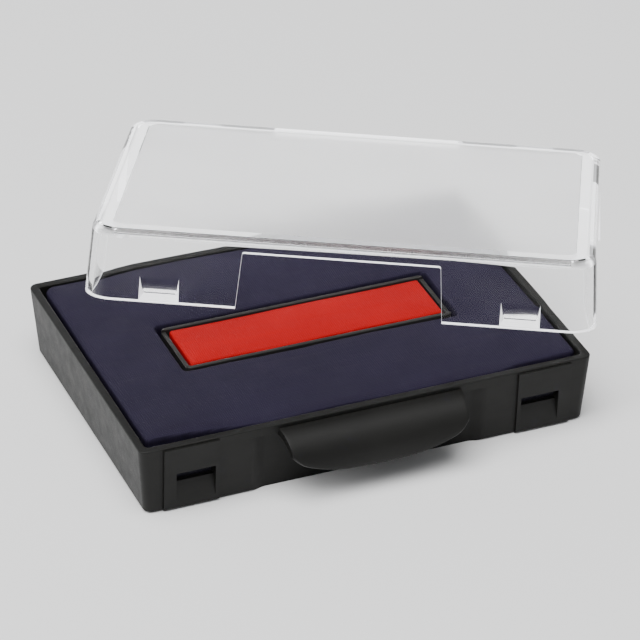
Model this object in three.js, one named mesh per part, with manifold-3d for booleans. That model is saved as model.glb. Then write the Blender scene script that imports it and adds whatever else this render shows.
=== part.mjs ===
// A two-colour stamp ink pad with its clear cover lying askew on top.
// Millimetres, +Z up. The origin is the centre of the tray's underside, +X runs along
// the tray's long side and -Y is the front, where the finger tongue is.
import * as THREE from 'three';
import { mergeVertices } from 'three/addons/utils/BufferGeometryUtils.js';
import Module from 'manifold-3d';

const wasm = await Module();
wasm.setup();

// The tray: a moulded box whose walls lean in towards the foot.
const TRAY = { length: 66, width: 46.9, height: 10.4, draft: 0.8, radius: 1.2, wall: 1.2, floor: 1.3 };
const POCKET_RADIUS = 0.6;

// Four catches for the cover: a raised pad on the wall with a slot over a ramped recess.
const CATCH_X = 25.15;
const CATCH = { width: 5.6, foot: 1.3, top: 6.0, slot: 1.8, depth: 0.9 };
const CATCH_PAD = { inner: 21.8, outer: 29.7, proud: 0.35, root: 1.4, top: 10.1 };

// The finger tongue curls out and down from the front rim over a shallow recess.
const TONGUE = { half: 13.3, lipHalf: 12.8, reach: 5.0, drop: 5.4, thickness: 1.1, rootDepth: 0.8 };
const TONGUE_TOP = 9.7;
const TONGUE_LIP = { rise: 0.32, power: 2.6, cornerFrom: 0.85, cornerCut: 0.1 };
const RECESS = { half: 14.8, shoulder: 2.5, depth: 0.6, top: 9.0 };

// The divider frame keeps the two inks apart.
const DIVIDER = { length: 39.4, width: 11.2, radius: 0.7, wall: 0.6, top: 10.3, endTop: 9.9 };

// Pads: a felt core under a cloth face. The main pad has a window for the small one.
const FIT_GAP = 0.3;
const MAIN_PAD = { length: 62.4, width: 44.0, radius: 1.2, top: 10.4 };
const MAIN_WINDOW = { length: 40.2, width: 11.9, radius: 0.8 };
const SMALL_PAD = { length: 37.4, width: 9.4, radius: 0.6, top: 10.3 };
const FACE_THICKNESS = 0.9;

// The cover: a thin clear shell, narrower at the roof, cut away in the middle of each wall.
const COVER = { length: 71.6, width: 53.5, height: 10.2, draft: 0.7, radius: 4.0, edge: 1.0, wall: 1.0 };
const LONG_CUT = { half: 14.4, topHalf: 13.8, top: 8.05 };
const SHORT_CUT = { half: 13.8, topHalf: 13.2, top: 8.05 };
const NUB = { width: 5.9, depth: 2.0, top: 4.0, lowRamp: 1.2, highRamp: 1.6, endSlope: 0.16 };

// Where the cover lies: on the tray's right and back rims and on the table behind.
const COVER_AT = { x: 15.07, y: 20.41, z: 6.535, yaw: -26.3, tilt: -11.505, bank: 1.96 };

const ARC_STEPS = 6;
const EDGE_STEPS = 4;
const TONGUE_STEPS = { along: 9, across: 20 };
const MARGIN = 5;

function plastic(color, roughness, more = {}) {
  return new THREE.MeshStandardMaterial({ color, roughness, metalness: 0, ...more });
}

const materials = {
  tray: plastic(0x1d1e1d, 0.42),
  divider: plastic(0x161616, 0.4),
  felt: plastic(0x23233f, 0.95),
  blueCloth: plastic(0x2b2950, 0.85),
  redFelt: plastic(0xb02020, 0.95),
  redCloth: plastic(0xdb2622, 0.8),
  clear: plastic(0xf2f4f5, 0.08, { transparent: true, opacity: 0.3 }),
};

// --- joining and cutting ---------------------------------------------------------------

function solidOf(geometry) {
  const bare = geometry.clone();
  bare.deleteAttribute('normal');
  bare.deleteAttribute('uv');
  const merged = mergeVertices(bare, 1e-4);
  const triVerts = Uint32Array.from(merged.index.array);
  const vertProperties = merged.attributes.position.array;
  return new wasm.Manifold(new wasm.Mesh({ numProp: 3, vertProperties, triVerts }));
}

function geometryOf(solid) {
  const { vertProperties, triVerts } = solid.getMesh();
  const geometry = new THREE.BufferGeometry();
  geometry.setAttribute('position', new THREE.BufferAttribute(vertProperties, 3));
  geometry.setIndex(new THREE.BufferAttribute(triVerts, 1));
  geometry.computeVertexNormals();
  return geometry;
}

// --- outlines and blanks ---------------------------------------------------------------

function roundedRectangle(length, width, radius) {
  const x = length / 2 - radius;
  const y = width / 2 - radius;
  const shape = new THREE.Shape();
  shape.absarc(x, y, radius, 0, Math.PI / 2);
  shape.absarc(-x, y, radius, Math.PI / 2, Math.PI);
  shape.absarc(-x, -y, radius, Math.PI, 1.5 * Math.PI);
  shape.absarc(x, -y, radius, 1.5 * Math.PI, 2 * Math.PI);
  shape.closePath();
  return shape;
}

function block(outline, bottom, top) {
  const shape = roundedRectangle(outline.length, outline.width, outline.radius);
  const options = { depth: top - bottom, bevelEnabled: false, curveSegments: ARC_STEPS };
  return new THREE.ExtrudeGeometry(shape, options).translate(0, 0, bottom);
}

// A block with rounded top and bottom edges, whose top face is at height `top`.
function roundedBlock(outline, edge, bottom, top) {
  const shape = roundedRectangle(
    outline.length - 2 * edge, outline.width - 2 * edge, outline.radius - edge);
  const options = {
    depth: top - bottom - 2 * edge,
    bevelThickness: edge,
    bevelSize: edge,
    bevelSegments: EDGE_STEPS,
    curveSegments: ARC_STEPS,
  };
  return new THREE.ExtrudeGeometry(shape, options).translate(0, 0, bottom + edge);
}

function inset(outline, by) {
  const { length, width, radius } = outline;
  return { length: length - 2 * by, width: width - 2 * by, radius: radius - by };
}

function bend(geometry, move) {
  const positions = geometry.attributes.position;
  const point = new THREE.Vector3();
  for (let i = 0; i < positions.count; i += 1) {
    point.fromBufferAttribute(positions, i);
    move(point);
    positions.setXYZ(i, point.x, point.y, point.z);
  }
  return geometry;
}

// Moulding draft: every wall leans in by `draft` over `height`, towards the foot or the roof.
function draftToFoot(geometry) {
  return bend(geometry, (p) => {
    const lean = TRAY.draft * (1 - p.z / TRAY.height);
    p.x *= 1 - 2 * lean / TRAY.length;
    p.y *= 1 - 2 * lean / TRAY.width;
  });
}

function draftToRoof(geometry) {
  return bend(geometry, (p) => {
    const lean = COVER.draft * p.z / COVER.height;
    p.x *= 1 - 2 * lean / COVER.length;
    p.y *= 1 - 2 * lean / COVER.width;
  });
}

function box(low, high) {
  const size = high.clone().sub(low);
  const middle = low.clone().add(high).multiplyScalar(0.5);
  return new THREE.BoxGeometry(size.x, size.y, size.z).translate(middle.x, middle.y, middle.z);
}

// A section drawn in the Y-Z plane and swept along X, centred on X = 0.
function bar(section, width, steps = 1) {
  const options = { depth: width, bevelEnabled: false, steps };
  const sweep = new THREE.ExtrudeGeometry(new THREE.Shape(section), options);
  const toYZ = new THREE.Matrix4().makeBasis(
    new THREE.Vector3(0, 1, 0), new THREE.Vector3(0, 0, 1), new THREE.Vector3(1, 0, 0));
  return sweep.applyMatrix4(toYZ).translate(-width / 2, 0, 0);
}

const yz = (y, z) => new THREE.Vector2(y, z);

// --- tray ------------------------------------------------------------------------------

// A raised pad for one catch, at the front wall, leaning with the wall.
function catchPad() {
  const front = -TRAY.width / 2 - CATCH_PAD.proud;
  const width = CATCH_PAD.outer - CATCH_PAD.inner;
  const root = front + CATCH_PAD.root;
  const section = [yz(front + TRAY.draft, 0), yz(root, 0), yz(root, CATCH_PAD.top),
    yz(front, CATCH_PAD.top)];
  return bar(section, width).translate((CATCH_PAD.inner + CATCH_PAD.outer) / 2, 0, 0);
}

// A slot right through the wall, and below it a ramp that runs out to the wall at its foot.
function catchCut() {
  const face = (z) => -TRAY.width / 2 - CATCH_PAD.proud + TRAY.draft * (1 - z / TRAY.height);
  const slotFoot = CATCH.top - CATCH.slot;
  const through = -TRAY.width / 2 + TRAY.wall + TRAY.draft;
  const section = [
    yz(-TRAY.width / 2 - MARGIN, CATCH.foot),
    yz(face(CATCH.foot), CATCH.foot),
    yz(face(slotFoot) + CATCH.depth, slotFoot),
    yz(through, slotFoot),
    yz(through, CATCH.top),
    yz(-TRAY.width / 2 - MARGIN, CATCH.top),
  ];
  return bar(section, CATCH.width).translate(CATCH_X, 0, 0);
}

// The four places of a catch: left and right, front and back.
function catchPlaces(make) {
  const front = [make(), make().scale(-1, 1, 1)];
  return front.flatMap((piece) => [piece, piece.clone().rotateZ(Math.PI)]).map(rightWayOut);
}

// A mirrored copy has its triangles inside out; turn them over where that happened.
function rightWayOut(geometry) {
  const bare = geometry.index ? geometry.toNonIndexed() : geometry;
  const p = bare.attributes.position;
  const corner = [0, 1, 2].map(() => new THREE.Vector3());
  let volume = 0;
  for (let i = 0; i < p.count; i += 3) {
    corner.forEach((c, k) => c.fromBufferAttribute(p, i + k));
    volume += corner[0].dot(corner[1].clone().cross(corner[2]));
  }
  if (volume > 0) return bare;
  for (let i = 0; i < p.count; i += 3) {
    const [x, y, z] = [p.getX(i), p.getY(i), p.getZ(i)];
    p.setXYZ(i, p.getX(i + 1), p.getY(i + 1), p.getZ(i + 1));
    p.setXYZ(i + 1, x, y, z);
  }
  return bare;
}

// The shallow finger recess in the front wall, with sloping shoulders.
function fingerRecess() {
  const wall = -TRAY.width / 2;
  const { half, shoulder, depth, top } = RECESS;
  const plan = new THREE.Shape([
    yz(-half - shoulder, wall), yz(-half - shoulder, wall - MARGIN),
    yz(half + shoulder, wall - MARGIN), yz(half + shoulder, wall),
    yz(half, wall + depth), yz(-half, wall + depth),
  ]);
  const cut = new THREE.ExtrudeGeometry(plan, { depth: top + MARGIN, bevelEnabled: false });
  const lean = (p) => { p.y += TRAY.draft * (1 - p.z / TRAY.height); };
  return bend(cut.translate(0, 0, -MARGIN), lean);
}

// A flat strip, swept along X, then curled down on a quarter ellipse and trimmed to its lip.
function tongue() {
  const { along, across } = TONGUE_STEPS;
  const strip = [];
  for (let i = 0; i <= along; i += 1) strip.push(yz(i / along, 0));
  for (let i = along; i >= 0; i -= 1) strip.push(yz(i / along, -1));
  const lip = (u) => {
    const corner = Math.max(0, (u - TONGUE_LIP.cornerFrom) / (1 - TONGUE_LIP.cornerFrom));
    return 1 - TONGUE_LIP.rise * u ** TONGUE_LIP.power - TONGUE_LIP.cornerCut * corner ** 2;
  };
  return bend(bar(strip, 2, across), (p) => {
    const reachIn = TONGUE.rootDepth * (p.y === 0 ? 1 : 0);
    const angle = Math.PI / 2 * lip(Math.abs(p.x)) * p.y;
    const normal = yz(-TONGUE.drop * Math.sin(angle), TONGUE.reach * Math.cos(angle)).normalize();
    const depth = TONGUE.thickness * p.z;
    p.x *= TONGUE.half + (TONGUE.lipHalf - TONGUE.half) * p.y;
    p.y = -TRAY.width / 2 + reachIn - TONGUE.reach * Math.sin(angle) + depth * normal.x;
    p.z = TONGUE_TOP - TONGUE.drop * (1 - Math.cos(angle)) + depth * normal.y;
  });
}

function tray() {
  const outer = solidOf(draftToFoot(block(TRAY, 0, TRAY.height)));
  const inner = { ...inset(TRAY, TRAY.wall), radius: POCKET_RADIUS };
  const pocket = solidOf(draftToFoot(block(inner, TRAY.floor, TRAY.height + MARGIN)));
  let solid = outer;
  for (const pad of catchPlaces(catchPad)) solid = solid.add(solidOf(pad));
  solid = solid.subtract(solidOf(fingerRecess())).subtract(pocket);
  for (const cut of catchPlaces(catchCut)) solid = solid.subtract(solidOf(cut));
  return geometryOf(solid.add(solidOf(rightWayOut(tongue()))));
}

// --- divider and pads ------------------------------------------------------------------

function ring(outer, inner, bottom, top) {
  const hole = block(inner, bottom - MARGIN, top + MARGIN);
  return geometryOf(solidOf(block(outer, bottom, top)).subtract(solidOf(hole)));
}

// Its end walls stand lower than its long walls.
function divider() {
  const { length, width, wall, endTop, top } = DIVIDER;
  const hole = { ...inset(DIVIDER, wall), radius: DIVIDER.radius / 2 };
  const frame = solidOf(ring(DIVIDER, hole, TRAY.floor + FIT_GAP, top));
  const across = new THREE.Vector3(length, width / 2 - wall, top + MARGIN);
  const overEnds = box(new THREE.Vector3(-across.x, -across.y, endTop), across);
  return geometryOf(frame.subtract(solidOf(overEnds)));
}

function mainPadLayer(bottom, top) {
  const outer = solidOf(draftToFoot(block(MAIN_PAD, bottom, top)));
  const window = solidOf(block(MAIN_WINDOW, bottom - MARGIN, top + MARGIN));
  return geometryOf(outer.subtract(window));
}

// --- cover -----------------------------------------------------------------------------

// A nub for one catch on the inside of the front wall, with a lead-in ramp below.
function nub() {
  const wall = -COVER.width / 2 + COVER.wall / 2;
  const tip = -COVER.width / 2 + COVER.wall + NUB.depth;
  const section = [yz(wall, 0), yz(tip - NUB.depth, 0), yz(tip, NUB.lowRamp), yz(tip, NUB.highRamp),
    yz(tip - NUB.depth, NUB.top), yz(wall, NUB.top)];
  const narrow = (p) => { p.x *= 1 - NUB.endSlope * Math.max(0, p.y - wall) / NUB.depth; };
  return bend(bar(section, NUB.width), narrow).translate(CATCH_X, 0, 0);
}

// Cuts two opposite walls away below, a little narrower at the top than at the open edge.
function wallCut({ half, topHalf, top }, reach) {
  const section = [yz(-half, -MARGIN), yz(half, -MARGIN), yz(half, 0), yz(topHalf, top),
    yz(-topHalf, top), yz(-half, 0)];
  return bar(section, 2 * reach);
}

function cover() {
  const inner = inset(COVER, COVER.wall);
  const roof = COVER.height - COVER.wall;
  const outside = solidOf(draftToRoof(roundedBlock(COVER, COVER.edge, -MARGIN, COVER.height)));
  const inside = solidOf(draftToRoof(roundedBlock(inner, COVER.edge / 2, -2 * MARGIN, roof)));
  const longCut = wallCut(LONG_CUT, COVER.width).rotateZ(Math.PI / 2);
  const shortCut = wallCut(SHORT_CUT, COVER.length);
  const below = box(
    new THREE.Vector3(-COVER.length, -COVER.width, -2 * MARGIN),
    new THREE.Vector3(COVER.length, COVER.width, 0));
  let solid = outside.subtract(inside).subtract(solidOf(below));
  solid = solid.subtract(solidOf(longCut)).subtract(solidOf(shortCut));
  for (const piece of catchPlaces(nub)) solid = solid.add(solidOf(piece));
  return geometryOf(solid);
}

// --- assembly --------------------------------------------------------------------------

function piece(name, geometry, material) {
  const mesh = new THREE.Mesh(geometry, material);
  mesh.name = name;
  return mesh;
}

function pads() {
  const bottom = TRAY.floor + FIT_GAP;
  const mainFace = MAIN_PAD.top - FACE_THICKNESS;
  const smallFace = SMALL_PAD.top - FACE_THICKNESS;
  const group = new THREE.Group();
  group.add(
    piece('main_pad_felt', mainPadLayer(bottom, mainFace - FIT_GAP), materials.felt),
    piece('main_pad_cloth', mainPadLayer(mainFace, MAIN_PAD.top), materials.blueCloth),
    piece('small_pad_felt', block(SMALL_PAD, bottom, smallFace - FIT_GAP), materials.redFelt),
    piece('small_pad_cloth', block(SMALL_PAD, smallFace, SMALL_PAD.top), materials.redCloth),
  );
  return group;
}

function restingCover() {
  const group = new THREE.Group();
  group.position.set(COVER_AT.x, COVER_AT.y, COVER_AT.z);
  const [tilt, bank, yaw] = [COVER_AT.tilt, COVER_AT.bank, COVER_AT.yaw].map(THREE.MathUtils.degToRad);
  group.rotation.set(tilt, bank, yaw, 'ZXY');
  group.add(piece('cover', cover(), materials.clear));
  return group;
}

const inkPad = new THREE.Group();
inkPad.add(
  piece('tray', tray(), materials.tray),
  piece('divider_frame', divider(), materials.divider),
  pads(),
  restingCover(),
);

export default inkPad;
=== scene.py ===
"""Two-colour stamp ink pad with a clear cover lying askew on it: looks, camera and light.

Everything is in metres, in the part's own frame: origin at the centre of the tray's underside,
+X along the tray, -Y towards the wall with the finger tongue, +Z up.
"""
import math

import bmesh
import bpy
import numpy as np
from mathutils import Matrix, Vector


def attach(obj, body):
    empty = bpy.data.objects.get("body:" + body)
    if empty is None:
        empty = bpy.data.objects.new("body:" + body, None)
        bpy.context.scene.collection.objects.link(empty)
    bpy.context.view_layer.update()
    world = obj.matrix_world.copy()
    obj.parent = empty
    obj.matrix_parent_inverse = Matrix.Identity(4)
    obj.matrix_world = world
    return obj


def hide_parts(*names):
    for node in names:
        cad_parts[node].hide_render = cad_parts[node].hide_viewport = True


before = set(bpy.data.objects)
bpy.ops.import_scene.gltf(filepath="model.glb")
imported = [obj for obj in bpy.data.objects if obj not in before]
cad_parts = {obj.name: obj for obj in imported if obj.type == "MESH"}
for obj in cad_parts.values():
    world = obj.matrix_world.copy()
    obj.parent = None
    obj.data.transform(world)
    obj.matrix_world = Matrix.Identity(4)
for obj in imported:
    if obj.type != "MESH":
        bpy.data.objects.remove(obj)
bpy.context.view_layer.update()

MM = 0.001

# Sizes in millimetres; mesh_object() turns them into metres. A cutter passes what it cuts by
# at least MARGIN.
MARGIN = 1.0
TRAY_LENGTH, TRAY_WIDTH, TRAY_HEIGHT = 66.0, 46.9, 10.4
TRAY_DRAFT, TRAY_RADIUS, TRAY_WALL, TRAY_FLOOR = 0.8, 1.2, 1.2, 1.3
POCKET_RADIUS = 0.6
TRAY_FOOT_ROUND, TRAY_RIM_ROUND, POCKET_FLOOR_ROUND, TRAY_SOFT_EDGE = 0.45, 0.22, 0.5, 0.14
CATCH_X, CATCH_WIDTH, CATCH_FOOT, CATCH_TOP = 25.15, 5.6, 1.3, 6.0
CATCH_SLOT, CATCH_DEPTH = 1.8, 0.9
CATCH_PAD_INNER, CATCH_PAD_OUTER, CATCH_PAD_PROUD, CATCH_PAD_TOP = 21.8, 29.7, 0.35, 10.1
CATCH_PAD_ROOT, CATCH_PAD_CHAMFER, CATCH_PAD_CUT_IN, CATCH_PAD_LIFT = 1.4, 0.35, 0.4, 0.05
RECESS_HALF, RECESS_SHOULDER, RECESS_DEPTH, RECESS_TOP = 14.8, 2.5, 0.6, 9.0
TONGUE_HALF, TONGUE_LIP_HALF, TONGUE_REACH, TONGUE_DROP = 13.3, 12.8, 5.0, 5.4
TONGUE_THICKNESS, TONGUE_ROOT, TONGUE_TOP = 1.1, 0.8, 9.7
LIP_RISE, LIP_POWER, LIP_CORNER_FROM, LIP_CORNER_CUT = 0.32, 2.6, 0.85, 0.1
LIP_ROUNDNESS = 0.7

DIVIDER_LENGTH, DIVIDER_WIDTH, DIVIDER_RADIUS, DIVIDER_WALL = 39.4, 11.2, 0.7, 0.6
DIVIDER_TOP, DIVIDER_END_TOP, DIVIDER_ROUND, DIVIDER_SOFT_EDGE = 10.3, 9.9, 0.2, 0.06
PAD_FOOT = TRAY_FLOOR + 0.3
MAIN_LENGTH, MAIN_WIDTH, MAIN_RADIUS = 62.4, 44.0, 1.2
WINDOW_LENGTH, WINDOW_WIDTH, WINDOW_RADIUS = 40.2, 11.9, 0.8
SMALL_LENGTH, SMALL_WIDTH, SMALL_RADIUS = 37.4, 9.4, 0.3
CLOTH, CLOTH_SIDE = 0.3, 0.6
FELT_ROUND, MAIN_FELT_TOP, SMALL_FELT_TOP = 0.4, 9.2, 9.1
CLOTH_SHARP = 60  # degrees: the cloth is smooth but at its cut edges
MAIN_EDGE_TOP, MAIN_CROWN, MAIN_SKIRT = 10.35, 0.32, 3.4
END_SHOULDER, SIDE_SHOULDER, WINDOW_SHOULDER, SHOULDER_DROP = 0.7, 0.35, 0.3, 0.7
WINDOW_EASE = 0.25
# Where the cut pad isn't square: how far an edge is moved, where that starts, and over how far.
LEFT_GAP, LEFT_GAP_FROM, LEFT_GAP_RUN = 1.5, -12.0, 19.0
RIGHT_GAP, RIGHT_GAP_FROM, RIGHT_GAP_RUN = 0.75, 19.5, 4.0
FRONT_SWELL, BACK_TUCK, RIGHT_SWELL = 0.12, 0.1, 0.35
SMALL_EDGE_TOP, SMALL_CROWN, SMALL_SKIRT, SMALL_SHOULDER = 10.24, 0.22, 2.4, 0.4

COVER_LENGTH, COVER_WIDTH, COVER_HEIGHT = 71.6, 53.5, 10.2
COVER_DRAFT, COVER_RADIUS, COVER_EDGE, COVER_WALL = 0.7, 4.0, 1.0, 1.0
LONG_CUT_HALF, LONG_CUT_TOP_HALF = 14.4, 13.8
SHORT_CUT_HALF, SHORT_CUT_TOP_HALF = 13.8, 13.2
CUT_TOP, CUT_RADIUS = 8.05, 0.3
NUB_WIDTH, NUB_END_SLOPE, NUB_DEPTH = 5.9, 0.2, 2.0
NUB_TOP, NUB_LOW, NUB_HIGH = 4.0, 0.7, 0.85
NUB_KNEE_DEPTH, NUB_KNEE = 1.3, 1.25
PANEL_INSET, PANEL_RADIUS, PANEL_STEP, PANEL_SLOPE = 2.8, 1.6, 0.06, 0.04
LIP_ROUND, COVER_SOFT_EDGE = 0.14, 0.12

# How the cover lies: the middle of its open side, then yaw, tilt and bank in degrees.
COVER_AT = Vector((15.07, 20.41, 6.535))
COVER_YAW, COVER_TILT, COVER_BANK = -26.3, -11.505, 1.96

# The camera: view angles in degrees, distance and aim offsets in millimetres.
VIEW_AZIMUTH, VIEW_ELEVATION, VIEW_DISTANCE = -21.83, 31.53, 593.3
VIEW_RIGHT, VIEW_UP = 1.87, 8.84
VIEW_LENS, VIEW_SENSOR = 237.6, 36.0


# --- outlines and meshes ---------------------------------------------------------------

def outline(length, width, radius, arc=12, side=1):
    """A rounded rectangle as an anticlockwise array of points, `arc` steps to a corner."""
    radius = max(radius, 0.02)
    cx, cy = length / 2 - radius, width / 2 - radius
    corners = [(cx, cy, 0.0), (-cx, cy, 0.5), (-cx, -cy, 1.0), (cx, -cy, 1.5)]
    points = []
    for x, y, turn in corners:
        angles = math.pi * (turn + 0.5 * np.arange(arc + 1) / arc)
        points.append(np.column_stack([x + radius * np.cos(angles), y + radius * np.sin(angles)]))
    path = []
    for this, after in zip(points, points[1:] + points[:1]):
        path.append(this)
        steps = np.arange(1, side)[:, None] / side
        path.append(this[-1] + (after[0] - this[-1]) * steps)
    return np.concatenate(path)


def ring(flat, z):
    """The outline `flat` raised to height z."""
    return np.column_stack([flat, np.broadcast_to(z, len(flat))])


def loft_faces(count, rings, closed):
    """Quads between rings of `count` points; a loft that isn't closed gets two caps."""
    step = np.arange(count)
    after = (step + 1) % count
    faces = []
    for k in range(rings if closed else rings - 1):
        low, high = k * count, ((k + 1) % rings) * count
        faces += np.column_stack([low + step, low + after, high + after, high + step]).tolist()
    if not closed:
        faces.append(step[::-1].tolist())
        faces.append(((rings - 1) * count + step).tolist())
    return faces


def mesh_object(name, points, faces, place=Matrix.Identity(4)):
    """A mesh object from points in millimetres, set at `place`, with its faces turned out."""
    mesh = bpy.data.meshes.new(name)
    mesh.from_pydata([place @ Vector(p) * MM for p in np.asarray(points, float)], [], faces)
    tool = bmesh.new()
    tool.from_mesh(mesh)
    bmesh.ops.recalc_face_normals(tool, faces=tool.faces)
    tool.to_mesh(mesh)
    tool.free()
    thing = bpy.data.objects.new(name, mesh)
    bpy.context.scene.collection.objects.link(thing)
    return thing


def loft(name, rings, closed=False):
    """A mesh through a stack of rings, capped at both ends or closed back on its start."""
    faces = loft_faces(len(rings[0]), len(rings), closed)
    return mesh_object(name, np.concatenate(rings), faces)


def arc_steps(start, end, count):
    """Angles in radians from start to end degrees."""
    return np.radians(np.linspace(start, end, count + 1))


def bar(name, section, half_width, narrow=None):
    """A section in the Y-Z plane swept along X; `narrow` may scale X by the point's Y."""
    section = np.asarray(section, float)
    rings = []
    for x in (-half_width, half_width):
        scale = np.ones(len(section)) if narrow is None else narrow(section[:, 0])
        rings.append(np.column_stack([x * scale, section]))
    return loft(name, rings)


def evaluated(thing):
    """Applies every modifier of `thing`."""
    depsgraph = bpy.context.evaluated_depsgraph_get()
    mesh = bpy.data.meshes.new_from_object(thing.evaluated_get(depsgraph))
    old = thing.data
    thing.modifiers.clear()
    thing.data = mesh
    bpy.data.meshes.remove(old)
    return thing


def combine(thing, other, operation):
    """Joins or cuts `thing` with `other`, which is used up."""
    step = thing.modifiers.new("combine", "BOOLEAN")
    step.object = other
    step.operation = operation
    step.solver = "EXACT"
    evaluated(thing)
    bpy.data.objects.remove(other)
    return thing


def soften(thing, width, segments=3, angle=40):
    """Rounds the sharp edges by `width` millimetres and smooths the rest."""
    step = thing.modifiers.new("edges", "BEVEL")
    step.width = width * MM
    step.segments = segments
    step.limit_method = "ANGLE"
    step.angle_limit = math.radians(angle)
    step.use_clamp_overlap = True
    step.miter_outer = "MITER_ARC"
    evaluated(thing)
    without_slivers(thing)
    smooth(thing)
    return flat_faces_flat(thing)


def without_slivers(thing, reach=0.0002):
    """Welds points less than `reach` millimetres apart, so that no sliver face is left."""
    tool = bmesh.new()
    tool.from_mesh(thing.data)
    bmesh.ops.remove_doubles(tool, verts=tool.verts, dist=reach * MM)
    bmesh.ops.dissolve_degenerate(tool, edges=tool.edges, dist=reach * MM)
    tool.to_mesh(thing.data)
    tool.free()
    return thing


def smooth(thing, angle=32):
    """Smooth shading, kept sharp where faces meet at more than `angle` degrees."""
    thing.data.shade_smooth()
    thing.data.set_sharp_from_angle(angle=math.radians(angle))
    return thing


def flat_faces_flat(thing):
    """Keeps the large faces truly flat in shading, so that clear walls don't act as lenses."""
    step = thing.modifiers.new("normals", "WEIGHTED_NORMAL")
    step.keep_sharp = True
    step.weight = 90
    return evaluated(thing)


def turned(thing, matrix):
    """Moves the mesh itself, so that the object stays at the origin."""
    thing.data.transform(matrix)
    if matrix.determinant() < 0:
        thing.data.flip_normals()
    return thing


def four_places(make):
    """One piece for each of the four catches: left and right, front and back."""
    flip = Matrix.Scale(-1, 4, (1, 0, 0))
    back = Matrix.Rotation(math.pi, 4, "Z")
    return [turned(make(), m) for m in (Matrix.Identity(4), flip, back, back @ flip)]


# --- tray ------------------------------------------------------------------------------

def lean(z):
    """How far the tray's wall has leant in at height z."""
    return TRAY_DRAFT * (1 - z / TRAY_HEIGHT)


def tray_ring(inset, radius, z):
    """The tray's outline at height z, taken in by `inset` from its outside."""
    leant = inset + lean(z)
    return ring(outline(TRAY_LENGTH - 2 * leant, TRAY_WIDTH - 2 * leant, radius, arc=16), z)


def tray_shell():
    """The tray's walls and floor, from its underside up, over the rim and down into the pocket."""
    rings = []
    for a in arc_steps(0, 90, 5):
        cut = TRAY_FOOT_ROUND * (1 - math.sin(a))
        rings.append(tray_ring(cut, TRAY_RADIUS - cut, TRAY_FOOT_ROUND * (1 - math.cos(a))))
    for a in arc_steps(0, 90, 5):
        cut = TRAY_RIM_ROUND * (1 - math.cos(a))
        rings.append(tray_ring(cut, TRAY_RADIUS - cut,
                               TRAY_HEIGHT - TRAY_RIM_ROUND * (1 - math.sin(a))))
    for a in arc_steps(90, 0, 5):
        cut = TRAY_RIM_ROUND * (1 - math.cos(a))
        rings.append(tray_ring(TRAY_WALL - cut, POCKET_RADIUS + cut,
                               TRAY_HEIGHT - TRAY_RIM_ROUND * (1 - math.sin(a))))
    for a in arc_steps(0, 90, 4):
        cut = POCKET_FLOOR_ROUND * (1 - math.cos(a))
        rings.append(tray_ring(TRAY_WALL + cut, POCKET_RADIUS - cut,
                               TRAY_FLOOR + POCKET_FLOOR_ROUND * (1 - math.sin(a))))
    return loft("tray_shape", rings)


def wall_face(z):
    """Where the front wall's outside is at height z."""
    return -TRAY_WIDTH / 2 + lean(z)


def catch_pad():
    """The raised pad that a catch is cut in, rooted inside the wall."""
    root = wall_face(CATCH_PAD_TOP) - CATCH_PAD_PROUD + CATCH_PAD_ROOT
    section = [(wall_face(CATCH_PAD_CHAMFER) - CATCH_PAD_PROUD, CATCH_PAD_CHAMFER),
               (wall_face(0) - CATCH_PAD_PROUD + CATCH_PAD_CUT_IN, CATCH_PAD_LIFT),
               (root, CATCH_PAD_LIFT), (root, CATCH_PAD_TOP),
               (wall_face(CATCH_PAD_TOP) - CATCH_PAD_PROUD, CATCH_PAD_TOP)]
    pad = bar("pad", section, (CATCH_PAD_OUTER - CATCH_PAD_INNER) / 2)
    return turned(pad, Matrix.Translation(((CATCH_PAD_OUTER + CATCH_PAD_INNER) / 2 * MM, 0, 0)))


def catch_cut():
    """A slot right through the wall, and below it a ramp that runs out at its foot."""
    front = -TRAY_WIDTH / 2 - MARGIN
    through = -TRAY_WIDTH / 2 + TRAY_WALL + TRAY_DRAFT
    slot_foot = CATCH_TOP - CATCH_SLOT
    deep = wall_face(slot_foot) - CATCH_PAD_PROUD + CATCH_DEPTH
    section = [(front, CATCH_FOOT), (wall_face(CATCH_FOOT) - CATCH_PAD_PROUD, CATCH_FOOT),
               (deep, slot_foot), (through, slot_foot), (through, CATCH_TOP), (front, CATCH_TOP)]
    return turned(bar("cut", section, CATCH_WIDTH / 2), Matrix.Translation((CATCH_X * MM, 0, 0)))


def finger_recess():
    """The recess behind the tongue: its shoulders run in on a smooth curve."""
    wall = -TRAY_WIDTH / 2
    curve = [(RECESS_HALF + RECESS_SHOULDER * (1 - t),
              RECESS_DEPTH * (1 - math.cos(math.pi * t)) / 2) for t in np.linspace(0, 1, 9)]
    outer = RECESS_HALF + RECESS_SHOULDER
    plan = [(x, wall + deep) for x, deep in curve]
    plan += [(-x, wall + deep) for x, deep in reversed(curve)]
    plan += [(-outer, wall - 2 * MARGIN), (outer, wall - 2 * MARGIN)]
    return loft("recess", [ring(np.array(plan) + (0, lean(z)), z) for z in (-MARGIN, RECESS_TOP)])


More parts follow.
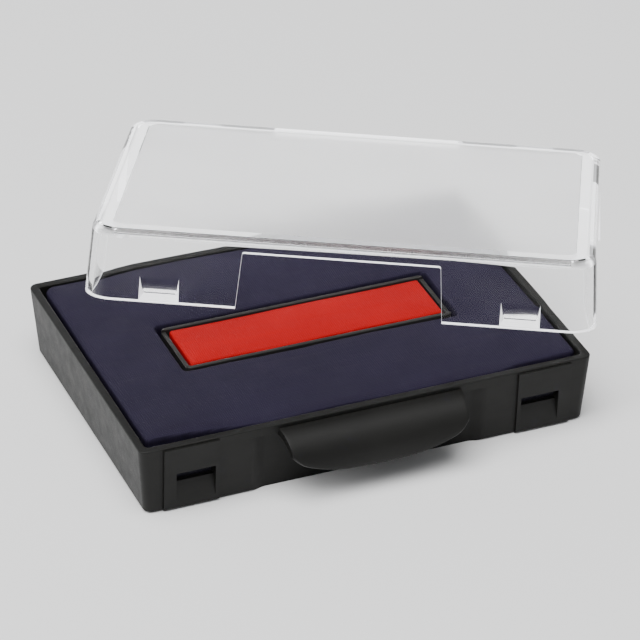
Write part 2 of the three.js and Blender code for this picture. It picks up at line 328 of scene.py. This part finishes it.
def tongue():
    """A curved plate: across it in u, out and down along s, with a round lip."""
    across, along, lip_round = 56, 16, 6
    half = TONGUE_THICKNESS / 2
    loops = []
    for u in np.linspace(-1, 1, across + 1):
        corner = max(0.0, (abs(u) - LIP_CORNER_FROM) / (1 - LIP_CORNER_FROM))
        trim = 1 - LIP_RISE * abs(u) ** LIP_POWER - LIP_CORNER_CUT * corner ** 2
        loop = []
        surface = [(s, 0.0) for s in np.linspace(0, 1, along + 1)]
        nose = [(1.0, a) for a in np.linspace(0, math.pi, lip_round + 1)[1:-1]]
        under = [(s, -1.0) for s in np.linspace(1, 0, along + 1)]
        for s, side in surface + nose + under:
            angle = math.pi / 2 * trim * s
            normal = np.array([-TONGUE_DROP * math.sin(angle), TONGUE_REACH * math.cos(angle)])
            normal /= np.linalg.norm(normal)
            onward = np.array([-normal[1], normal[0]])
            if side <= 0:
                depth, out = TONGUE_THICKNESS * side, 0.0
            else:
                depth, out = half * (math.cos(side) - 1), LIP_ROUNDNESS * half * math.sin(side)
            root = TONGUE_ROOT if s == 0 else 0.0
            y = -TRAY_WIDTH / 2 + root - TONGUE_REACH * math.sin(angle)
            z = TONGUE_TOP - TONGUE_DROP * (1 - math.cos(angle))
            y, z = np.array([y, z]) + depth * normal + out * onward
            loop.append((u * (TONGUE_HALF + (TONGUE_LIP_HALF - TONGUE_HALF) * s), y, z))
        loops.append(np.array(loop))
    return loft("tongue", loops)


def make_tray():
    """The tray in one moulding: shell, catches, recess and tongue."""
    shell = tray_shell()
    for pad in four_places(catch_pad):
        combine(shell, pad, "UNION")
    combine(shell, finger_recess(), "DIFFERENCE")
    for cut in four_places(catch_cut):
        combine(shell, cut, "DIFFERENCE")
    combine(shell, tongue(), "UNION")
    return soften(shell, TRAY_SOFT_EDGE)


# --- divider and pads ------------------------------------------------------------------

def make_divider():
    """A thin rectangular frame whose end walls stand lower than its long walls."""
    def at(inset, z):
        return ring(outline(DIVIDER_LENGTH - 2 * inset, DIVIDER_WIDTH - 2 * inset,
                            DIVIDER_RADIUS - inset, arc=8), z)
    over_top = [(DIVIDER_ROUND * (1 - math.cos(a)),
                 DIVIDER_TOP - DIVIDER_ROUND * (1 - math.sin(a))) for a in arc_steps(0, 90, 4)]
    rings = [at(0, PAD_FOOT)]
    rings += [at(inset, z) for inset, z in over_top]
    rings += [at(DIVIDER_WALL - inset, z) for inset, z in reversed(over_top)]
    rings.append(at(DIVIDER_WALL, PAD_FOOT))
    frame_ring = loft("divider_shape", rings, closed=True)
    inside = DIVIDER_WIDTH / 2 - DIVIDER_WALL
    above = DIVIDER_TOP + 2 * MARGIN
    over_ends = [(-inside, DIVIDER_END_TOP), (inside, DIVIDER_END_TOP),
                 (inside, above), (-inside, above)]
    combine(frame_ring, bar("cut", over_ends, DIVIDER_LENGTH), "DIFFERENCE")
    return soften(frame_ring, DIVIDER_SOFT_EDGE, segments=2)


def main_outline(along, across, outer, z):
    """The pad's outer edge, or its window, taken in towards the cloth's middle."""
    if outer:
        leant = lean(z)
        return outline(MAIN_LENGTH - 2 * (along + leant), MAIN_WIDTH - 2 * (across + leant),
                       MAIN_RADIUS - 0.6 * across, arc=12, side=48)
    out = across + WINDOW_EASE
    return outline(WINDOW_LENGTH + 2 * out, WINDOW_WIDTH + 2 * out,
                   WINDOW_RADIUS + 0.5 * across, arc=12, side=48)


def ease(value):
    """A smooth step from 0 to 1."""
    t = np.clip(value, 0, 1)
    return t * t * (3 - 2 * t)


def swell(points):
    """A cut pad isn't quite square: its front edge leaves a gap at the rim at either end."""
    x, y, z = points.T
    near_front = np.clip(-y / (MAIN_WIDTH / 2), 0, 1) ** 6
    near_back = np.clip(y / (MAIN_WIDTH / 2), 0, 1) ** 6
    near_right = np.clip(x / (MAIN_LENGTH / 2), 0, 1) ** 8
    gap = (LEFT_GAP * ease((LEFT_GAP_FROM - x) / LEFT_GAP_RUN)
           + RIGHT_GAP * ease((x - RIGHT_GAP_FROM) / RIGHT_GAP_RUN))
    y = y + near_front * (gap - FRONT_SWELL) - near_back * BACK_TUCK
    return np.column_stack([x + RIGHT_SWELL * near_right, y, z])


def ripple(x, y):
    """Slight unevenness of stretched cloth, in millimetres."""
    return (0.05 * np.sin(0.31 * x + 0.17 * y + 0.8) + 0.035 * np.sin(0.53 * y - 0.21 * x)
            + 0.02 * np.sin(0.9 * x + 1.3) * np.sin(0.74 * y))


def cloth_rings(thickness):
    """The surface of the main pad's cloth, `thickness` below its face, from skirt to window."""
    steps = 40
    face = MAIN_EDGE_TOP - thickness
    skirt_top = MAIN_EDGE_TOP - SHOULDER_DROP
    def shoulder(outer):
        end = END_SHOULDER if outer else WINDOW_SHOULDER
        side = SIDE_SHOULDER if outer else WINDOW_SHOULDER
        made = []
        for z in (skirt_top - MAIN_SKIRT, skirt_top - MAIN_SKIRT / 2):
            made.append(ring(main_outline(thickness, thickness, outer, z), z))
        for a in arc_steps(0, 90, 8):
            along = end - (end - thickness) * math.cos(a)
            across = side - (side - thickness) * math.cos(a)
            z = face - (SHOULDER_DROP - thickness) * (1 - math.sin(a))
            made.append(ring(main_outline(along, across, outer, z), z))
        return made
    outer, inner = shoulder(True), shoulder(False)
    middle = []
    for t in np.linspace(0, 1, steps + 1)[1:-1]:
        flat = outer[-1] + (inner[-1] - outer[-1]) * t
        flat[:, 2] = face + MAIN_CROWN * math.sin(math.pi * t) ** 0.7
        middle.append(flat)
    rings = outer + middle + inner[::-1]
    for r in rings:
        near = np.clip((r[:, 2] - skirt_top) / SHOULDER_DROP, 0, 1)
        r[:, 2] += near * ripple(r[:, 0], r[:, 1])
    return [swell(r) for r in rings]


def make_main_cloth():
    """The blue face: one thickness of cloth, turned down at its outside and at its window."""
    rings = cloth_rings(0.0) + cloth_rings(CLOTH)[::-1]
    return smooth(loft("main_cloth_shape", rings, closed=True), CLOTH_SHARP)


def make_small_cloth():
    """The red face: one thickness of cloth, crowned and turned down at its edge."""
    def rings(thickness):
        radius = SMALL_SHOULDER - thickness
        face = SMALL_EDGE_TOP - thickness
        def at(inset, z):
            return ring(outline(SMALL_LENGTH - 2 * inset, SMALL_WIDTH - 2 * inset,
                                max(SMALL_RADIUS - 0.4 * inset, 0.08), arc=8, side=24), z)
        made = [at(thickness, SMALL_EDGE_TOP - SMALL_SHOULDER - SMALL_SKIRT)]
        made += [at(SMALL_SHOULDER - radius * math.cos(a), face - radius * (1 - math.sin(a)))
                 for a in arc_steps(0, 90, 8)]
        last = SMALL_WIDTH / 2 - 0.25
        made += [at(SMALL_SHOULDER + (last - SMALL_SHOULDER) * t,
                    face + SMALL_CROWN * math.sin(math.pi / 2 * t))
                 for t in np.linspace(0, 1, 12)[1:]]
        for r in made[5:]:
            r[:, 2] += 0.6 * ripple(r[:, 0], r[:, 1])
        return made
    face, back = rings(0.0), rings(CLOTH)
    return smooth(loft("small_cloth_shape", back[::-1] + face), CLOTH_SHARP)


def make_felt(name, length, width, radius, top, window=None):
    """A felt core with soft edges, with or without a window."""
    def at(inset, z, sizes, sign):
        across, deep, corner = sizes
        inset *= sign
        flat = outline(across - 2 * inset, deep - 2 * inset, max(corner - inset, 0.1), side=12)
        return ring(flat, z)
    def profile(sizes, sign):
        return [at(FELT_ROUND * (1 - math.sin(a)), PAD_FOOT + FELT_ROUND * (1 - math.cos(a)),
                   sizes, sign) for a in arc_steps(0, 90, 4)] + [
                at(FELT_ROUND * (1 - math.cos(a)), top - FELT_ROUND * (1 - math.sin(a)),
                   sizes, sign) for a in arc_steps(0, 90, 4)]
    outer = profile((length, width, radius), 1)
    if window is None:
        return smooth(loft(name, outer))
    return smooth(loft(name, outer + profile(window, -1)[::-1], closed=True))


# --- cover -----------------------------------------------------------------------------

def cover_ring(inset, z):
    """The cover's outline at height z, taken in by `inset` from its outside."""
    leant = inset + COVER_DRAFT * z / COVER_HEIGHT
    flat = outline(COVER_LENGTH - 2 * leant, COVER_WIDTH - 2 * leant, COVER_RADIUS - inset, arc=20)
    return ring(flat, z)


def panel_ring(grow, z):
    """The etched panel's outline, let out by `grow`, at height z."""
    inset = COVER_DRAFT + PANEL_INSET - grow
    flat = outline(COVER_LENGTH - 2 * inset, COVER_WIDTH - 2 * inset, PANEL_RADIUS + grow, arc=20)
    return ring(flat, z)


def cover_shell():
    """The cover's shell, from the roof panel out, down the walls, under the lip and up inside."""
    inner_edge = COVER_EDGE / 2
    roof = COVER_HEIGHT - COVER_WALL
    rings = [panel_ring(-PANEL_SLOPE, COVER_HEIGHT - PANEL_STEP),
             panel_ring(PANEL_SLOPE, COVER_HEIGHT)]
    for a in arc_steps(90, 0, 16):
        rings.append(cover_ring(COVER_EDGE * (1 - math.cos(a)),
                                COVER_HEIGHT - COVER_EDGE * (1 - math.sin(a))))
    for a in arc_steps(0, 90, 4):
        rings.append(cover_ring(LIP_ROUND * (1 - math.cos(a)), LIP_ROUND * (1 - math.sin(a))))
    for a in arc_steps(90, 0, 4):
        rings.append(cover_ring(COVER_WALL - LIP_ROUND * (1 - math.cos(a)),
                                LIP_ROUND * (1 - math.sin(a))))
    for a in arc_steps(0, 90, 8):
        rings.append(cover_ring(COVER_WALL + inner_edge * (1 - math.cos(a)),
                                roof - inner_edge * (1 - math.sin(a))))
    return loft("cover_shape", rings)


def cut_section(half, top_half):
    """The cut-out's outline across the wall: a little narrower at the top, open below."""
    points = [(-half, -3 * MARGIN), (half, -3 * MARGIN), (half, 0.0)]
    for x, start in ((top_half - CUT_RADIUS, 0), (CUT_RADIUS - top_half, 90)):
        points += [(x + CUT_RADIUS * math.cos(a), CUT_TOP - CUT_RADIUS + CUT_RADIUS * math.sin(a))
                   for a in arc_steps(start, start + 90, 5)]
    return points + [(-half, 0.0)]


def cut_bar(half, top_half, reach, along_x):
    """A cutter for the cut-outs of both long walls or of both end walls."""
    cutter = bar("cut", cut_section(half, top_half), reach)
    return cutter if along_x else turned(cutter, Matrix.Rotation(math.pi / 2, 4, "Z"))


def nub():
    """A nub on the inside of the front wall, its upper slope bent, its ends drawn in."""
    wall = -COVER_WIDTH / 2 + COVER_WALL / 2
    base = -COVER_WIDTH / 2 + COVER_WALL
    tip = base + NUB_DEPTH
    section = [(wall, LIP_ROUND), (base, LIP_ROUND), (tip, NUB_LOW), (tip, NUB_HIGH),
               (base + NUB_KNEE_DEPTH, NUB_KNEE), (base, NUB_TOP), (wall, NUB_TOP)]
    def narrow(y):
        return 1 - NUB_END_SLOPE * np.clip((y - wall) / NUB_DEPTH, 0, None)
    piece = bar("nub", section, NUB_WIDTH / 2, narrow)
    return turned(piece, Matrix.Translation((CATCH_X * MM, 0, 0)))


# The third finish, for raw edges, is pale and carries a painted glow (emission).
CLEAR, FROSTED, GLOWING_EDGE = 0, 1, 2


def finish_of(centre, normal):
    """Which finish a face of the cover has: clear, etched, or a raw edge's pale finish with a
    painted glow.
    """
    x, y, z = abs(centre.x), abs(centre.y), centre.z
    on_panel = (x < COVER_LENGTH / 2 - COVER_DRAFT - PANEL_INSET
                and y < COVER_WIDTH / 2 - COVER_DRAFT - PANEL_INSET)
    if on_panel and z > COVER_HEIGHT - 1.5 * PANEL_STEP and normal.z > 0.9:
        return FROSTED
    slack, reach, side_reach = 0.1, 0.5, 0.8
    on_nub = (abs(x - CATCH_X) < NUB_WIDTH / 2 + slack and LIP_ROUND < z < NUB_TOP
              and y < COVER_WIDTH / 2 - COVER_WALL - slack)
    # On the nub, faces looking down or sideways take the raw-edge finish: pale, with a painted
    # glow.
    if on_nub:
        return GLOWING_EDGE if normal.z < -0.2 or abs(normal.x) > 0.7 else CLEAR
    on_lip = z < LIP_ROUND
    on_corner = (z > COVER_HEIGHT - COVER_EDGE and abs(normal.z) < 0.93
                 and x > COVER_LENGTH / 2 - COVER_RADIUS and y > COVER_WIDTH / 2 - COVER_RADIUS)
    on_header = normal.z < -0.6 and abs(z - CUT_TOP) < reach
    on_long_side = abs(normal.x) > 0.6 and abs(x - LONG_CUT_HALF) < side_reach and y > x
    on_short_side = abs(normal.y) > 0.6 and abs(y - SHORT_CUT_HALF) < side_reach and x > y
    # The roof's rounded corners are clear, but take the etched finish: it hides dark wedges the
    # renderer made there, and its paleness is a painted highlight for light piped out at the
    # corners.
    if on_corner:
        return FROSTED
    # The lip, the headers and the sides of the cut-outs take the raw-edge finish: pale, with a
    # painted glow.
    return GLOWING_EDGE if on_lip or on_header or on_long_side or on_short_side else CLEAR


def make_cover():
    """The cover lying askew, and the finish of each of its faces."""
    shell = cover_shell()
    long_cut = cut_bar(LONG_CUT_HALF, LONG_CUT_TOP_HALF, COVER_WIDTH, along_x=False)
    short_cut = cut_bar(SHORT_CUT_HALF, SHORT_CUT_TOP_HALF, COVER_LENGTH, along_x=True)
    combine(shell, long_cut, "DIFFERENCE")
    combine(shell, short_cut, "DIFFERENCE")
    for bump in four_places(nub):
        combine(shell, bump, "UNION")
    soften(shell, COVER_SOFT_EDGE, angle=45)
    finishes = [finish_of(face.center / MM, face.normal) for face in shell.data.polygons]
    angles = [math.radians(a) for a in (COVER_TILT, COVER_BANK, COVER_YAW)]
    turn = Matrix.Rotation(angles[2], 4, "Z") @ Matrix.Rotation(angles[0], 4, "X")
    turn = turn @ Matrix.Rotation(angles[1], 4, "Y")
    turned(shell, Matrix.Translation(COVER_AT * MM) @ turn)
    return shell, finishes


# --- materials -------------------------------------------------------------------------

RANGE_SOCKETS = ("From Min", "From Max", "To Min", "To Max")


class Shader:
    """A Principled material and short ways to add the nodes that feed it."""

    def __init__(self, name, **constants):
        self.material = bpy.data.materials.new(name)
        self.material.use_nodes = True
        self.tree = self.material.node_tree
        self.surface = self.tree.nodes["Principled BSDF"]
        for label, value in constants.items():
            self.surface.inputs[label.replace("_", " ")].default_value = value
        self.place = self.node("ShaderNodeTexCoord").outputs["Object"]

    def node(self, kind, **settings):
        made = self.tree.nodes.new(kind)
        for key, value in settings.items():
            setattr(made, key, value)
        return made

    def link(self, out, target):
        self.tree.links.new(out, target)

    def feed(self, socket, value):
        if isinstance(value, bpy.types.NodeSocket):
            self.link(value, socket)
        else:
            socket.default_value = value

    def set(self, label, value):
        self.feed(self.surface.inputs[label], value)

    def stretched(self, x=1.0, y=1.0, z=1.0):
        """The place on the object, scaled along each axis."""
        made = self.node("ShaderNodeMapping")
        made.inputs["Scale"].default_value = (x, y, z)
        self.link(self.place, made.inputs["Vector"])
        return made.outputs["Vector"]

    def noise(self, per_mm, detail=3.0, roughness=0.55, place=None):
        """Noise with about `per_mm` features to a millimetre."""
        made = self.node("ShaderNodeTexNoise")
        self.link(place or self.place, made.inputs["Vector"])
        made.inputs["Scale"].default_value = per_mm / MM
        made.inputs["Detail"].default_value = detail
        made.inputs["Roughness"].default_value = roughness
        return made.outputs["Fac"]

    def remap(self, value, low, high, to_low, to_high):
        """`value` carried from the range low to high onto to_low to to_high, and held there."""
        made = self.node("ShaderNodeMapRange")
        self.feed(made.inputs["Value"], value)
        for label, number in zip(RANGE_SOCKETS, (low, high, to_low, to_high)):
            made.inputs[label].default_value = number
        return made.outputs["Result"]

    def math(self, operation, a, b=0.0):
        made = self.node("ShaderNodeMath", operation=operation)
        self.feed(made.inputs[0], a)
        self.feed(made.inputs[1], b)
        return made.outputs["Value"]

    def mix(self, factor, a, b):
        made = self.node("ShaderNodeMix", data_type="RGBA")
        sockets = [s for s in made.inputs if s.enabled]
        for socket, value in zip(sockets, (factor, a, b)):
            self.feed(socket, value)
        return next(s for s in made.outputs if s.enabled)

    def bump(self, height, depth_mm, below=None):
        """A bump of real depth; `below` is another bump's normal."""
        made = self.node("ShaderNodeBump")
        made.inputs["Distance"].default_value = depth_mm * MM
        self.feed(made.inputs["Height"], height)
        if below is not None:
            self.link(below, made.inputs["Normal"])
        return made.outputs["Normal"]

    def weave(self, threads_per_mm):
        """Woven threads: their height, 0 to 1, and how far the lengthwise one is on top."""
        parts = self.node("ShaderNodeSeparateXYZ")
        self.link(self.place, parts.inputs["Vector"])
        turn = math.pi * threads_per_mm / MM
        wander = self.remap(self.noise(0.25), 0.3, 0.7, -0.9, 0.9)
        along = [self.math("MULTIPLY", parts.outputs[axis], turn) for axis in ("X", "Y")]
        waves = [self.math("SINE", self.math("ADD", place, wander)) for place in along]
        over = self.remap(self.math("MULTIPLY", *waves), -0.35, 0.35, 0.0, 1.0)
        threads = [self.math("ABSOLUTE", wave) for wave in waves]
        height = self.math("MULTIPLY", *threads)
        return height, over


def rgb(red, green, blue):
    return (red, green, blue, 1.0)


def shaded(colour, amount):
    """A colour made darker or paler by `amount`."""
    return rgb(*[c * amount for c in colour[:3]])


INK_SMEAR, DUST = rgb(0.008, 0.0075, 0.016), rgb(0.05, 0.05, 0.05)


def moulded_black(name, shade, gloss):
    """Satin moulding: fine spark texture, a slight swirl in the gloss, ink smears and dust."""
    s = Shader(name, IOR=1.5, Specular_IOR_Level=0.2)
    broad = s.noise(0.06, detail=4.0)
    fine = s.noise(7.0, detail=2.0)
    swirl = s.noise(0.5, detail=5.0, roughness=0.65, place=s.stretched(0.35, 1.0, 1.0))
    base = s.mix(s.remap(broad, 0.35, 0.65, 0.0, 1.0), shaded(shade, 0.86), shaded(shade, 1.16))
    smear = s.remap(s.noise(0.16, detail=6.0, roughness=0.7), 0.60, 0.72, 0.0, 0.4)
    base = s.mix(smear, base, INK_SMEAR)
    dust = s.remap(s.noise(3.2, detail=2.0, roughness=0.8), 0.74, 0.80, 0.0, 0.25)
    s.set("Base Color", s.mix(dust, base, DUST))
    rough = s.math("ADD", s.remap(swirl, 0.3, 0.7, gloss - 0.05, gloss + 0.07),
                   s.remap(fine, 0.3, 0.7, -0.03, 0.03))
    s.set("Roughness", s.math("ADD", rough, s.math("MULTIPLY", smear, -0.12)))
    s.set("Normal", s.bump(fine, 0.010, below=s.bump(swirl, 0.02)))
    return s.material


def inked_cloth(name, deep, bright, streak, wet, threads_per_mm=3.4):
    """Fine cloth over an ink-soaked core: woven threads with painted shade between them, drier
    streaks along it, a damp sheen.
    """
    s = Shader(name, IOR=1.45, Specular_IOR_Level=0.12)
    height, over = s.weave(threads_per_mm)
    fuzz = s.noise(9.0, detail=2.0)
    soak = s.noise(0.09, detail=3.0)
    streaks = s.noise(0.9, detail=4.0, roughness=0.6, place=s.stretched(0.12, 1.0, 1.0))
    tone = s.mix(s.remap(soak, 0.3, 0.7, 0.0, 1.0), deep, bright)
    tone = s.mix(s.remap(streaks, 0.45, 0.75, 0.0, 0.55), tone, streak)
    # Painted shade: the colour darkens where the threads dip, less where the lengthwise thread
    # lies on top.
    shade_in_gaps = s.math("MULTIPLY", s.remap(height, 0.0, 0.5, 0.42, 0.0),
                  s.remap(over, 0.0, 1.0, 1.0, 0.7))
    s.set("Base Color", s.mix(shade_in_gaps, tone, shaded(deep, 0.35)))
    s.set("Roughness", s.math("ADD", s.remap(streaks, 0.3, 0.7, wet, wet + 0.12),
                              s.remap(fuzz, 0.3, 0.7, -0.05, 0.05)))
    s.set("Normal", s.bump(fuzz, 0.02, below=s.bump(height, 0.05, below=s.bump(streaks, 0.05))))
    return s.material


def soaked_felt(name, deep, bright):
    """Pressed fibres lying every way, darker where the ink sits, with painted shade in the hollows
    between them.
    """
    s = Shader(name, IOR=1.45, Sheen_Weight=0.2, Sheen_Roughness=0.5)
    long_fibres = s.noise(5.0, detail=4.0, roughness=0.7, place=s.stretched(0.3, 1.0, 1.0))
    cross_fibres = s.noise(5.0, detail=4.0, roughness=0.7, place=s.stretched(1.0, 0.3, 1.0))
    fibres = s.math("MAXIMUM", long_fibres, cross_fibres)
    soak = s.noise(0.12, detail=3.0)
    tone = s.mix(s.remap(soak, 0.3, 0.7, 0.0, 1.0), deep, bright)
    # Painted shade: the colour darkens in the hollows, where the fibre noise that drives the bump
    # is low.
    s.set("Base Color", s.mix(s.remap(fibres, 0.45, 0.75, 0.5, 0.0), tone, shaded(deep, 0.4)))
    s.set("Roughness", s.remap(fibres, 0.3, 0.8, 0.95, 0.7))
    s.set("Normal", s.bump(fibres, 0.15))
    return s.material


def clear_plastic():
    """Clear polystyrene: faint waves from the mould, and a few greasy, finely scratched marks."""
    s = Shader("clear_plastic", IOR=1.5, Transmission_Weight=1.0,
               Base_Color=rgb(0.99, 0.992, 0.996), Specular_Tint=rgb(0.2, 0.2, 0.2))
    marks = s.noise(0.12, detail=5.0, roughness=0.7)
    scratches = s.noise(1.6, detail=3.0, roughness=0.8, place=s.stretched(0.06, 1.0, 1.0))
    haze = s.math("MULTIPLY", s.remap(marks, 0.5, 0.7, 0.0, 1.0),
                  s.remap(scratches, 0.4, 0.7, 0.3, 1.0))
    s.set("Roughness", s.remap(haze, 0.0, 1.0, 0.01, 0.03))
    s.set("Normal", s.bump(s.noise(0.10, detail=1.0), 0.02))
    return s.material


def frosted_plastic():
    """The roof panel: the same plastic with a fine etched face that blurs what is under it."""
    s = Shader("frosted_plastic", IOR=1.5, Transmission_Weight=0.92,
               Specular_Tint=rgb(0.2, 0.2, 0.2))
    grain = s.noise(5.0, detail=3.0, roughness=0.7)
    broad = s.noise(0.08, detail=3.0)
    s.set("Base Color", s.mix(s.remap(grain, 0.3, 0.7, 0.0, 1.0),
                              rgb(0.955, 0.95, 0.945), rgb(0.99, 0.985, 0.98)))
    s.set("Roughness", s.math("ADD", s.remap(grain, 0.3, 0.7, 0.28, 0.36),
                              s.remap(broad, 0.3, 0.7, -0.02, 0.02)))
    s.set("Normal", s.bump(grain, 0.01))
    return s.material


def glowing_edge_plastic():
    """The cover's raw edges: pale and rough, with a painted glow (emission) standing in for light
    that is piped through the walls and leaves by them.
    """
    s = Shader("glowing_edge_plastic", IOR=1.5, Transmission_Weight=0.2,
               Emission_Color=rgb(0.94, 0.94, 1.0), Emission_Strength=0.7)
    grain = s.noise(4.0, detail=3.0, roughness=0.7)
    s.set("Base Color", s.mix(s.remap(grain, 0.3, 0.7, 0.0, 1.0),
                              rgb(0.93, 0.94, 0.95), rgb(0.99, 0.99, 0.99)))
    s.set("Roughness", s.remap(grain, 0.3, 0.7, 0.25, 0.4))
    return s.material


def pale_floor():
    """A matt pale studio floor."""
    s = Shader("floor", Base_Color=rgb(0.80, 0.80, 0.80), Roughness=0.9, Specular_IOR_Level=0.2)
    return s.material


# --- assembly --------------------------------------------------------------------------

def finished(thing, name, body, slot, material, *nodes):
    """Names a piece, gives it its material, and says what it rides on and stands for."""
    thing.name = name
    thing.data.name = name
    thing.data.materials.clear()
    thing.data.materials.append(material)
    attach(thing, body)
    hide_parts(*nodes)
    return thing


def build_pad():
    """The tray, its divider, and the two inked pads, each a cloth face over a felt core."""
    black = moulded_black("black_plastic", (0.0064, 0.0063, 0.0057), gloss=0.48)
    # The divider takes the tray's black made over three times paler: painted light, standing in
    # for the light band along the tops of its walls.
    lightened_black = moulded_black("divider_lightened_plastic", (0.021, 0.020, 0.019), gloss=0.42)
    blue = inked_cloth("blue_cloth", rgb(0.0122, 0.0095, 0.0225), rgb(0.0152, 0.0118, 0.0282),
                       streak=rgb(0.022, 0.018, 0.037), wet=0.68)
    red = inked_cloth("red_cloth", rgb(0.33, 0.0015, 0.0028), rgb(0.38, 0.0022, 0.0038),
                      streak=rgb(0.42, 0.005, 0.006), wet=0.70)
    blue_core = soaked_felt("blue_felt", rgb(0.012, 0.011, 0.026), rgb(0.018, 0.016, 0.036))
    red_core = soaked_felt("red_felt", rgb(0.30, 0.006, 0.005), rgb(0.38, 0.008, 0.006))
    thinner = 2 * CLOTH_SIDE
    window = (WINDOW_LENGTH + thinner, WINDOW_WIDTH + thinner, WINDOW_RADIUS)
    finished(make_tray(), "tray_moulding", "pad", "black_plastic", black, "tray")
    finished(make_divider(), "divider_ring", "pad", "black_plastic", lightened_black, "divider_frame")
    soft = [finished(make_main_cloth(), "main_pad_face", "pad", "blue_cloth", blue,
                     "main_pad_cloth"),
            finished(make_felt("main_felt_shape", MAIN_LENGTH - thinner, MAIN_WIDTH - thinner,
                               MAIN_RADIUS, MAIN_FELT_TOP, window),
                     "main_pad_core", "pad", "blue_felt", blue_core, "main_pad_felt"),
            finished(make_small_cloth(), "small_pad_face", "pad", "red_cloth", red,
                     "small_pad_cloth"),
            finished(make_felt("small_felt_shape", SMALL_LENGTH - thinner, SMALL_WIDTH - thinner,
                               SMALL_RADIUS, SMALL_FELT_TOP),
                     "small_pad_core", "pad", "red_felt", red_core, "small_pad_felt")]


def build_cover():
    """The cover, with its three finishes, the raw edges' one with a painted glow; it neither
    shades nor tints what is round it.
    """
    shell, finishes = make_cover()
    cover = finished(shell, "cover_shell", "cover", "clear_plastic", clear_plastic(), "cover")
    cover.data.materials.append(frosted_plastic())
    cover.data.materials.append(glowing_edge_plastic())
    cover.data.polygons.foreach_set("material_index", finishes)
    cover.visible_shadow = cover.visible_diffuse = False


# --- floor, camera and light -----------------------------------------------------------

def make_floor():
    """A wide flat floor, `size` metres from its middle to its edge."""
    size, steps = 1.6, 16
    bm = bmesh.new()
    bmesh.ops.create_grid(bm, x_segments=steps, y_segments=steps, size=size)
    mesh = bpy.data.meshes.new("floor")
    bm.to_mesh(mesh)
    bm.free()
    floor = bpy.data.objects.new("floor", mesh)
    bpy.context.scene.collection.objects.link(floor)
    mesh.materials.append(pale_floor())


# Where the soft boxes point and how far off they stand, in metres.
LIGHT_TARGET, LIGHT_DISTANCE = Vector((0.01, 0.01, 0.0)), 0.9


def look_from(azimuth, elevation):
    """Unit vectors towards the viewer, to the viewer's right and up."""
    a, e = math.radians(azimuth), math.radians(elevation)
    back = Vector((math.sin(a) * math.cos(e), -math.cos(a) * math.cos(e), math.sin(e)))
    right = Vector((math.cos(a), math.sin(a), 0))
    return back, right, back.cross(right)


def aimed(thing, place, back, right):
    """Sets a camera or lamp at `place`, looking away from `back`, upright."""
    up = back.cross(right)
    turn = Matrix((right, up, back)).transposed().to_4x4()
    thing.matrix_world = Matrix.Translation(place) @ turn


def make_camera():
    """The camera: a long lens, from the front left and above."""
    back, right, up = look_from(VIEW_AZIMUTH, VIEW_ELEVATION)
    data = bpy.data.cameras.new("camera")
    data.lens, data.sensor_width = VIEW_LENS, VIEW_SENSOR
    data.clip_start, data.clip_end = 0.01, 10.0
    camera = bpy.data.objects.new("camera", data)
    bpy.context.scene.collection.objects.link(camera)
    place = (right * VIEW_RIGHT + up * VIEW_UP + back * VIEW_DISTANCE) * MM
    aimed(camera, place, back, right)
    bpy.context.scene.camera = camera


def soft_box(name, azimuth, elevation, side, power):
    """A square soft box `side` metres wide, aimed at the part."""
    back, right, _ = look_from(azimuth, elevation)
    data = bpy.data.lights.new(name, "AREA")
    data.shape = "SQUARE"
    data.size = side
    data.energy = power
    lamp = bpy.data.objects.new(name, data)
    bpy.context.scene.collection.objects.link(lamp)
    aimed(lamp, LIGHT_TARGET + back * LIGHT_DISTANCE, back, right)


def make_light():
    """A bright low backdrop behind, dim elsewhere, and soft boxes overhead and at the left."""
    world = bpy.data.worlds.new("studio")
    world.use_nodes = True
    tree = world.node_tree
    sky = tree.nodes["Background"]
    sky.inputs["Color"].default_value = rgb(0.97, 0.98, 1.0)
    way = tree.nodes.new("ShaderNodeTexCoord").outputs["Generated"]
    parts = tree.nodes.new("ShaderNodeSeparateXYZ")
    tree.links.new(way, parts.inputs["Vector"])
    def fade(axis, *numbers):
        """A smooth change along an axis: from, to, and the value at each."""
        made = tree.nodes.new("ShaderNodeMapRange")
        made.interpolation_type = "SMOOTHSTEP"
        for label, number in zip(RANGE_SOCKETS, numbers):
            made.inputs[label].default_value = number
        tree.links.new(parts.outputs[axis], made.inputs["Value"])
        return made.outputs["Result"]
    strength = tree.nodes.new("ShaderNodeMath")
    strength.operation = "MULTIPLY_ADD"
    low_down = fade("Z", 0.14, 0.32, 1.0, 0.0)
    backdrop = fade("Y", -0.2, 0.5, 0.0, 5.0)
    surroundings = fade("Y", -0.6, 0.0, 0.5, 0.14)
    for socket, value in zip(strength.inputs, (low_down, backdrop, surroundings)):
        tree.links.new(value, socket)
    tree.links.new(strength.outputs["Value"], sky.inputs["Strength"])
    bpy.context.scene.world = world
    soft_box("overhead", azimuth=-50, elevation=74, side=0.8, power=15.0)
    soft_box("left", azimuth=-85, elevation=36, side=0.4, power=2.8)


build_pad()
build_cover()
make_floor()
make_camera()
make_light()
